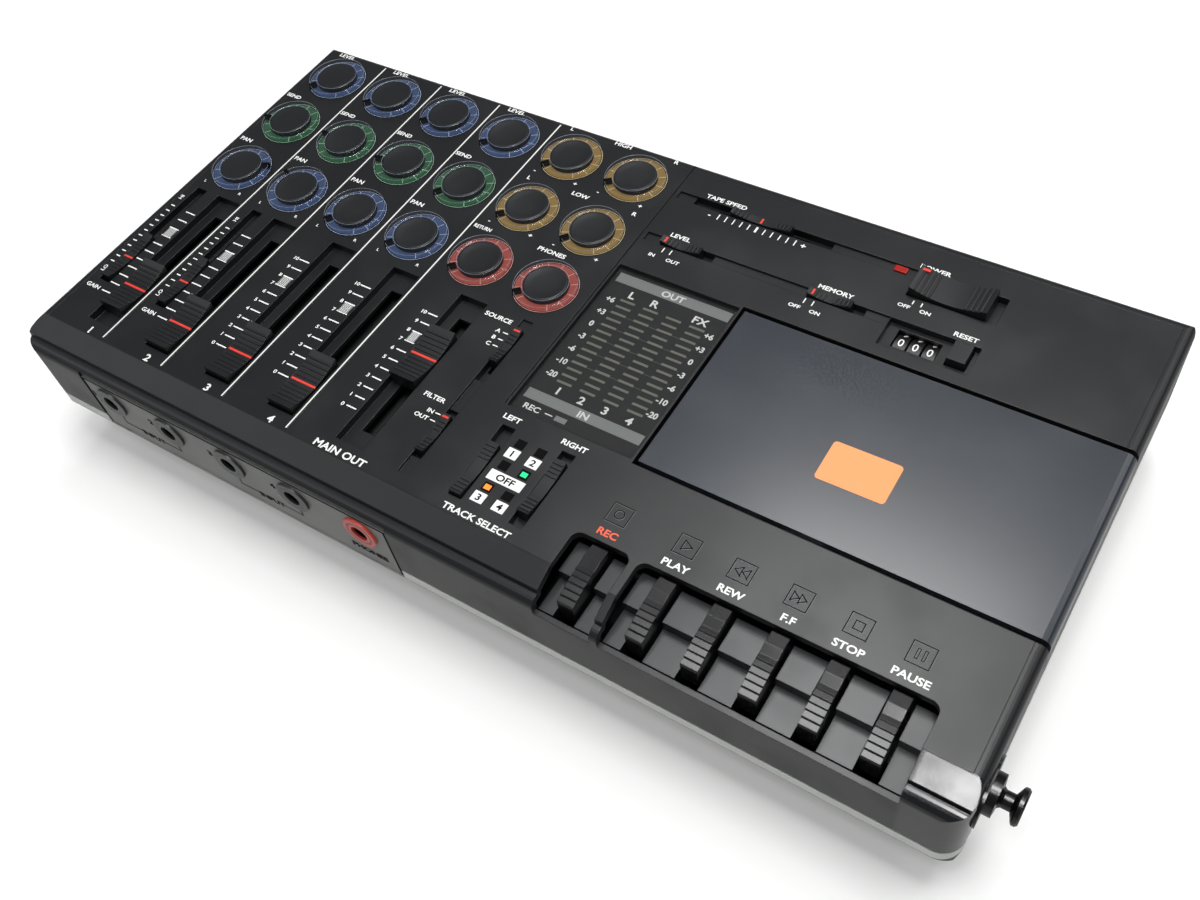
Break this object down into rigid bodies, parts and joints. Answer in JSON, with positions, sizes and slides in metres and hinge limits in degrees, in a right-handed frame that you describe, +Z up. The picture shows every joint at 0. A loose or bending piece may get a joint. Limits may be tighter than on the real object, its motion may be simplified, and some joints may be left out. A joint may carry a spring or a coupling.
{
  "type": "four track cassette recorder",
  "caption": "Portable multitrack cassette recorder: mixer panel with knobs and faders, level meter window, smoked cassette door, piano style transport keys, front sockets",
  "frame": {"origin": "on the table at the centre foot, under the middle of the case (352 x 178.5 mm footprint, without sockets and strap button)", "axes": "+X to the right along the front, +Y to the rear, +Z up; transport keys and sockets face -Y"},
  "size_m": [0.3618, 0.1861, 0.0656],
  "materials": {
    "case": "satin black moulded plastic",
    "base": "fine grained black plastic",
    "jack_plate": "satin dark grey",
    "meter_glass": "smooth smoked window",
    "comb": "satin dark grey plastic",
    "well": "matte black plastic",
    "steel": "zinc plated",
    "bright_steel": "bright",
    "board": "solder mask",
    "socket_black": "moulded",
    "fittings_metal": "black enamelled strap button, zinc plated screws and spacers, black rubber feet",
    "smoked_door": "glossy smoked plastic",
    "spindle_white": "moulded",
    "roller_rubber": "ground rubber",
    "counter_black": "matte with white numerals",
    "button_grey": "satin",
    "key_black": "satin",
    "knob_clear": "clear skirt over a printed ring, black cap",
    "slider_black": "satin",
    "power_grey": "satin"
  },
  "bodies": {
    "body": {"top_cover": "case", "case_rim": "case", "bottom_cover": "base", "connector_panels": "jack_plate", "meter_window": "meter_glass", "key_comb": "comb", "cassette_well": "well", "transport_chassis": "steel", "circuit_board": "board", "sockets": "socket_black", "fittings": "fittings_metal"},
    "cassette_door": {"cassette_door": "smoked_door"},
    "supply_spindle": {"supply_spindle": "spindle_white"},
    "takeup_spindle": {"takeup_spindle": "spindle_white"},
    "flywheel": {"flywheel": "steel"},
    "head_bridge": {"head_bridge": "bright_steel"},
    "pinch_roller": {"pinch_roller": "roller_rubber"},
    "counter_hundreds": {"counter_hundreds": "counter_black"},
    "counter_tens": {"counter_tens": "counter_black"},
    "counter_units": {"counter_units": "counter_black"},
    "reset_button": {"reset_button": "button_grey"},
    "key_rec": {"key_rec": "key_black"},
    "key_play": {"key_play": "key_black"},
    "key_rew": {"key_rew": "key_black"},
    "key_ffwd": {"key_ffwd": "key_black"},
    "key_stop": {"key_stop": "key_black"},
    "key_pause": {"key_pause": "key_black"},
    "knob_tape_cue_1": {"knob_tape_cue_1": "knob_clear"},
    "knob_tape_cue_2": {"knob_tape_cue_2": "knob_clear"},
    "knob_tape_cue_3": {"knob_tape_cue_3": "knob_clear"},
    "knob_tape_cue_4": {"knob_tape_cue_4": "knob_clear"},
    "knob_effect_1": {"knob_effect_1": "knob_clear"},
    "knob_effect_2": {"knob_effect_2": "knob_clear"},
    "knob_effect_3": {"knob_effect_3": "knob_clear"},
    "knob_effect_4": {"knob_effect_4": "knob_clear"},
    "knob_pan_1": {"knob_pan_1": "knob_clear"},
    "knob_pan_2": {"knob_pan_2": "knob_clear"},
    "knob_pan_3": {"knob_pan_3": "knob_clear"},
    "knob_pan_4": {"knob_pan_4": "knob_clear"},
    "knob_eq_high_left": {"knob_eq_high_left": "knob_clear"},
    "knob_eq_high_right": {"knob_eq_high_right": "knob_clear"},
    "knob_eq_low_left": {"knob_eq_low_left": "knob_clear"},
    "knob_eq_low_right": {"knob_eq_low_right": "knob_clear"},
    "knob_effect_return": {"knob_effect_return": "knob_clear"},
    "knob_phones": {"knob_phones": "knob_clear"},
    "fader_1": {"fader_1": "slider_black"},
    "fader_2": {"fader_2": "slider_black"},
    "fader_3": {"fader_3": "slider_black"},
    "fader_4": {"fader_4": "slider_black"},
    "fader_master": {"fader_master": "slider_black"},
    "trim_1": {"trim_1": "slider_black"},
    "trim_2": {"trim_2": "slider_black"},
    "monitor_slider": {"monitor_slider": "slider_black"},
    "nr_slider": {"nr_slider": "slider_black"},
    "record_left_slider": {"record_left_slider": "slider_black"},
    "record_right_slider": {"record_right_slider": "slider_black"},
    "pitch_slider": {"pitch_slider": "slider_black"},
    "meter_slider": {"meter_slider": "slider_black"},
    "zero_slider": {"zero_slider": "slider_black"},
    "power_slider": {"power_slider": "power_grey"}
  },
  "joints": [
    {"name": "door_hinge", "type": "hinge", "parent": "body", "child": "cassette_door", "pos_m": [0.1126, 0.03075, 0.0592], "axis": [-1, 0, 0], "range_deg": [0, 75]},
    {"name": "supply_spindle_turn", "type": "hinge", "parent": "body", "child": "supply_spindle", "pos_m": [0.0826, 0.00395, 0.05], "axis": [0, 0, 1], "continuous": true},
    {"name": "takeup_spindle_turn", "type": "hinge", "parent": "body", "child": "takeup_spindle", "pos_m": [0.1251, 0.00395, 0.05], "axis": [0, 0, 1], "continuous": true},
    {"name": "flywheel_turn", "type": "hinge", "parent": "body", "child": "flywheel", "pos_m": [0.12835, -0.02325, 0.027], "axis": [0, 0, 1], "continuous": true},
    {"name": "bridge_slide", "type": "slide", "parent": "body", "child": "head_bridge", "axis": [0, 1, 0], "range_m": [0, 0.0075], "stiffness_N_per_m": 60, "springref_m": -0.005},
    {"name": "roller_turn", "type": "hinge", "parent": "head_bridge", "child": "pinch_roller", "pos_m": [0.12835, -0.0388, 0.051], "axis": [0, 0, 1], "continuous": true},
    {"name": "counter_hundreds_turn", "type": "hinge", "parent": "body", "child": "counter_hundreds", "pos_m": [0.09815, 0.0457, 0.0513], "axis": [1, 0, 0], "continuous": true},
    {"name": "counter_tens_turn", "type": "hinge", "parent": "body", "child": "counter_tens", "pos_m": [0.103, 0.0457, 0.0513], "axis": [1, 0, 0], "continuous": true},
    {"name": "counter_units_turn", "type": "hinge", "parent": "body", "child": "counter_units", "pos_m": [0.10785, 0.0457, 0.0513], "axis": [1, 0, 0], "continuous": true},
    {"name": "reset_press", "type": "slide", "parent": "body", "child": "reset_button", "axis": [0, 0, -1], "range_m": [0, 0.0024], "stiffness_N_per_m": 250, "springref_m": -0.0012},
    {"name": "key_rec_press", "type": "hinge", "parent": "body", "child": "key_rec", "pos_m": [0.0548, -0.04875, 0.0505], "axis": [1, 0, 0], "range_deg": [0, 6.4], "stiffness_Nm_per_rad": 1, "springref_deg": -3.44},
    {"name": "key_play_press", "type": "hinge", "parent": "body", "child": "key_play", "pos_m": [0.0776, -0.04875, 0.0505], "axis": [1, 0, 0], "range_deg": [0, 6.4], "stiffness_Nm_per_rad": 0.0005, "springref_deg": -48.7},
    {"name": "key_rew_press", "type": "hinge", "parent": "body", "child": "key_rew", "pos_m": [0.0953, -0.04875, 0.0505], "axis": [1, 0, 0], "range_deg": [0, 6.4], "stiffness_Nm_per_rad": 1, "springref_deg": -3.44},
    {"name": "key_ffwd_press", "type": "hinge", "parent": "body", "child": "key_ffwd", "pos_m": [0.113, -0.04875, 0.0505], "axis": [1, 0, 0], "range_deg": [0, 6.4], "stiffness_Nm_per_rad": 1, "springref_deg": -3.44},
    {"name": "key_stop_press", "type": "hinge", "parent": "body", "child": "key_stop", "pos_m": [0.1307, -0.04875, 0.0505], "axis": [1, 0, 0], "range_deg": [0, 6.4], "stiffness_Nm_per_rad": 1, "springref_deg": -3.44},
    {"name": "key_pause_press", "type": "hinge", "parent": "body", "child": "key_pause", "pos_m": [0.1484, -0.04875, 0.0505], "axis": [1, 0, 0], "range_deg": [0, 6.4], "stiffness_Nm_per_rad": 1, "springref_deg": -3.44},
    {"name": "knob_tape_cue_1_turn", "type": "hinge", "parent": "body", "child": "knob_tape_cue_1", "pos_m": [-0.159, 0.07215, 0.062], "axis": [0, 0, -1], "range_deg": [-2, 288]},
    {"name": "knob_tape_cue_2_turn", "type": "hinge", "parent": "body", "child": "knob_tape_cue_2", "pos_m": [-0.13025, 0.07215, 0.062], "axis": [0, 0, -1], "range_deg": [-8, 282]},
    {"name": "knob_tape_cue_3_turn", "type": "hinge", "parent": "body", "child": "knob_tape_cue_3", "pos_m": [-0.1015, 0.07215, 0.062], "axis": [0, 0, -1], "range_deg": [-12, 278]},
    {"name": "knob_tape_cue_4_turn", "type": "hinge", "parent": "body", "child": "knob_tape_cue_4", "pos_m": [-0.07275, 0.07215, 0.062], "axis": [0, 0, -1], "range_deg": [-8, 282]},
    {"name": "knob_effect_1_turn", "type": "hinge", "parent": "body", "child": "knob_effect_1", "pos_m": [-0.159, 0.04275, 0.062], "axis": [0, 0, -1], "range_deg": [-43, 247]},
    {"name": "knob_effect_2_turn", "type": "hinge", "parent": "body", "child": "knob_effect_2", "pos_m": [-0.13025, 0.04275, 0.062], "axis": [0, 0, -1], "range_deg": [-55, 235]},
    {"name": "knob_effect_3_turn", "type": "hinge", "parent": "body", "child": "knob_effect_3", "pos_m": [-0.1015, 0.04275, 0.062], "axis": [0, 0, -1], "range_deg": [-40, 250]},
    {"name": "knob_effect_4_turn", "type": "hinge", "parent": "body", "child": "knob_effect_4", "pos_m": [-0.07275, 0.04275, 0.062], "axis": [0, 0, -1], "range_deg": [-5, 285]},
    {"name": "knob_pan_1_turn", "type": "hinge", "parent": "body", "child": "knob_pan_1", "pos_m": [-0.159, 0.01335, 0.062], "axis": [0, 0, -1], "range_deg": [-207, 83]},
    {"name": "knob_pan_2_turn", "type": "hinge", "parent": "body", "child": "knob_pan_2", "pos_m": [-0.13025, 0.01335, 0.062], "axis": [0, 0, -1], "range_deg": [-83, 207]},
    {"name": "knob_pan_3_turn", "type": "hinge", "parent": "body", "child": "knob_pan_3", "pos_m": [-0.1015, 0.01335, 0.062], "axis": [0, 0, -1], "range_deg": [-6, 284]},
    {"name": "knob_pan_4_turn", "type": "hinge", "parent": "body", "child": "knob_pan_4", "pos_m": [-0.07275, 0.01335, 0.062], "axis": [0, 0, -1], "range_deg": [-6, 284]},
    {"name": "knob_eq_high_left_turn", "type": "hinge", "parent": "body", "child": "knob_eq_high_left", "pos_m": [-0.0442, 0.07215, 0.062], "axis": [0, 0, -1], "range_deg": [-7, 283]},
    {"name": "knob_eq_high_right_turn", "type": "hinge", "parent": "body", "child": "knob_eq_high_right", "pos_m": [-0.0164, 0.07215, 0.062], "axis": [0, 0, -1], "range_deg": [-18, 272]},
    {"name": "knob_eq_low_left_turn", "type": "hinge", "parent": "body", "child": "knob_eq_low_left", "pos_m": [-0.0442, 0.04275, 0.062], "axis": [0, 0, -1], "range_deg": [-7, 283]},
    {"name": "knob_eq_low_right_turn", "type": "hinge", "parent": "body", "child": "knob_eq_low_right", "pos_m": [-0.0164, 0.04275, 0.062], "axis": [0, 0, -1], "range_deg": [-6, 284]},
    {"name": "knob_effect_return_turn", "type": "hinge", "parent": "body", "child": "knob_effect_return", "pos_m": [-0.0442, 0.01335, 0.062], "axis": [0, 0, -1], "range_deg": [-10, 280]},
    {"name": "knob_phones_turn", "type": "hinge", "parent": "body", "child": "knob_phones", "pos_m": [-0.0164, 0.01335, 0.062], "axis": [0, 0, -1], "range_deg": [-12, 278]},
    {"name": "fader_1_slide", "type": "slide", "parent": "body", "child": "fader_1", "axis": [0, 1, 0], "range_m": [-0.006, 0.0384]},
    {"name": "fader_2_slide", "type": "slide", "parent": "body", "child": "fader_2", "axis": [0, 1, 0], "range_m": [-0.0002, 0.0442]},
    {"name": "fader_3_slide", "type": "slide", "parent": "body", "child": "fader_3", "axis": [0, 1, 0], "range_m": [-0.0002, 0.0442]},
    {"name": "fader_4_slide", "type": "slide", "parent": "body", "child": "fader_4", "axis": [0, 1, 0], "range_m": [-0.0002, 0.0442]},
    {"name": "fader_master_slide", "type": "slide", "parent": "body", "child": "fader_master", "axis": [0, 1, 0], "range_m": [-0.0276, 0.0168]},
    {"name": "trim_1_slide", "type": "slide", "parent": "body", "child": "trim_1", "axis": [0, 1, 0], "range_m": [-0.0008, 0.028]},
    {"name": "trim_2_slide", "type": "slide", "parent": "body", "child": "trim_2", "axis": [0, 1, 0], "range_m": [-0.0008, 0.028]},
    {"name": "monitor_slider_slide", "type": "slide", "parent": "body", "child": "monitor_slider", "axis": [0, -1, 0], "range_m": [0, 0.006]},
    {"name": "nr_slider_slide", "type": "slide", "parent": "body", "child": "nr_slider", "axis": [0, 1, 0], "range_m": [0, 0.003]},
    {"name": "record_left_slider_slide", "type": "slide", "parent": "body", "child": "record_left_slider", "axis": [0, 1, 0], "range_m": [0, 0.0076]},
    {"name": "record_right_slider_slide", "type": "slide", "parent": "body", "child": "record_right_slider", "axis": [0, 1, 0], "range_m": [-0.0038, 0.0038]},
    {"name": "pitch_slider_slide", "type": "slide", "parent": "body", "child": "pitch_slider", "axis": [1, 0, 0], "range_m": [-0.0147, 0.0147]},
    {"name": "meter_slider_slide", "type": "slide", "parent": "body", "child": "meter_slider", "axis": [1, 0, 0], "range_m": [0, 0.003]},
    {"name": "zero_slider_slide", "type": "slide", "parent": "body", "child": "zero_slider", "axis": [1, 0, 0], "range_m": [0, 0.003]},
    {"name": "power_slider_slide", "type": "slide", "parent": "body", "child": "power_slider", "axis": [1, 0, 0], "range_m": [0, 0.003]}
  ],
  "couplings": [
    {"joint": "key_play_press", "follows": "bridge_slide", "rad_per_m": 14.893},
    {"joint": "counter_units_turn", "follows": "takeup_spindle_turn", "ratio": 0.05},
    {"joint": "counter_tens_turn", "follows": "takeup_spindle_turn", "ratio": 0.005},
    {"joint": "counter_hundreds_turn", "follows": "takeup_spindle_turn", "ratio": 0.0005}
  ]
}
